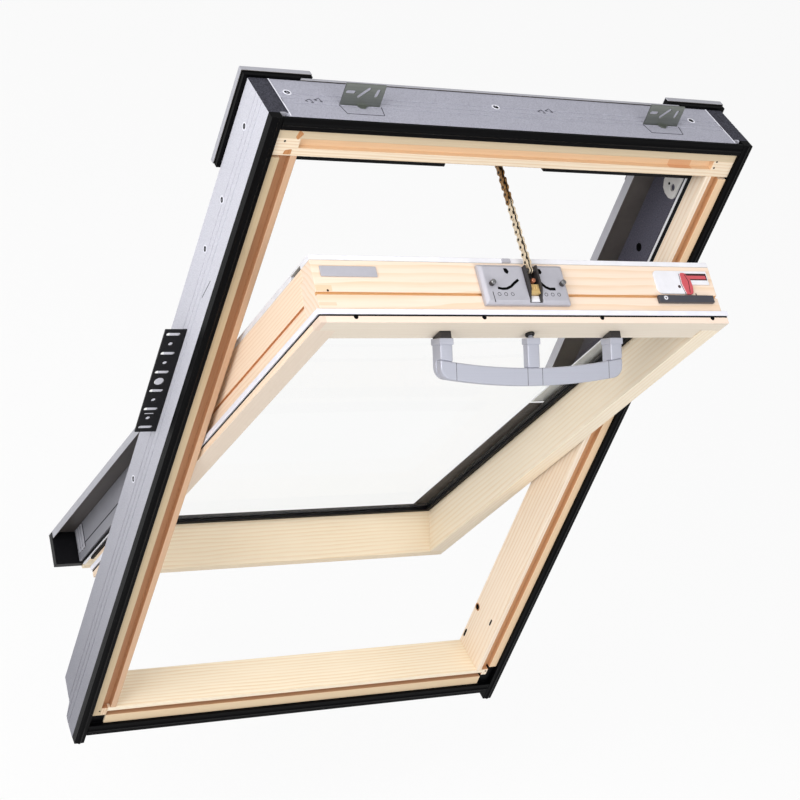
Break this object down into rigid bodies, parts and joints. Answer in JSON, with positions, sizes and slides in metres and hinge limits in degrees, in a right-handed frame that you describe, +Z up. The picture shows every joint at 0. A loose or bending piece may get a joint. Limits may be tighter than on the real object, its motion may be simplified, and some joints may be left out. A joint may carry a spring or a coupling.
{
  "type": "centre pivot window",
  "caption": "Timber centre pivot roof window in a foam insulating collar, its glazed sash standing open on a push chain, with a pull bar and metal outer covers.",
  "frame": {"origin": "on the room side of the left bracket's flange, between two of its holes", "axes": "+X to the right seen from the room, +Y outwards through the roof, +Z up the slope along the frame"},
  "size_m": [0.881, 0.5716, 1.273],
  "materials": {
    "base_dark": "dark grey block",
    "cover_grey": "matt grey coil coated aluminium",
    "dark_edge": "black foam strip",
    "latch_white": "white coated plate",
    "cap_black": "black moulded cap",
    "drive_grey": "dark grey housing",
    "pine": "clear lacquered softwood",
    "glass": "clear double pane",
    "seal_black": "black profile seal",
    "guide_pale": "pale moulded plastic",
    "zinc": "zinc plated, slightly green",
    "foam": "grey rigid foam, fine pored",
    "liner_dark": "dark textured lining",
    "strip_white": "white coated strip",
    "latch_grey": "dark grey coated bar",
    "black_bracket": "black powder coat",
    "case_grey": "mid grey moulded case",
    "flashing_grey": "matt grey coil coated aluminium",
    "hinge_steel": "plated steel",
    "handle_satin": "satin anodised",
    "chain_brass": "worn brass and steel links",
    "edge_white": "white moulded strip",
    "trim_white": "white coated aluminium"
  },
  "bodies": {
    "root": {"chain_bracket": "base_dark", "corner_covers": "cover_grey", "corner_packing": "dark_edge", "corner_strip": "latch_white", "cover_end_caps": "cap_black", "drive_housing": "drive_grey", "edge_trim": "dark_edge", "frame_head": "pine", "frame_left_jamb": "pine", "frame_right_jamb": "pine", "frame_sill": "pine", "glass_pane": "glass", "glazing_gasket": "seal_black", "guide_plates": "guide_pale", "head_brackets": "zinc", "head_cover": "cover_grey", "head_seals": "seal_black", "insulation_head": "foam", "insulation_left": "foam", "insulation_right": "foam", "insulation_sill": "foam", "jamb_liners": "liner_dark", "jamb_seals": "seal_black", "jamb_strips": "strip_white", "latch_bolt": "latch_grey", "latch_plate": "latch_white", "left_bracket": "black_bracket", "lock_case": "case_grey", "lower_flashings": "flashing_grey", "pivot_hinges": "hinge_steel", "pull_bar": "handle_satin", "pull_bar_bases": "base_dark", "pull_bar_legs": "handle_satin", "push_chain": "chain_brass", "right_bracket": "black_bracket", "sash_bottom_cover": "cover_grey", "sash_bottom_rail": "pine", "sash_edge_strips": "edge_white", "sash_left_stile": "pine", "sash_outer_trims": "trim_white", "sash_right_stile": "pine", "sash_seal": "seal_black", "sash_side_covers": "cover_grey", "sash_side_trims": "flashing_grey", "sash_top_rail": "pine", "side_covers": "cover_grey", "sill_flashing": "flashing_grey"}
  },
  "joints": []
}
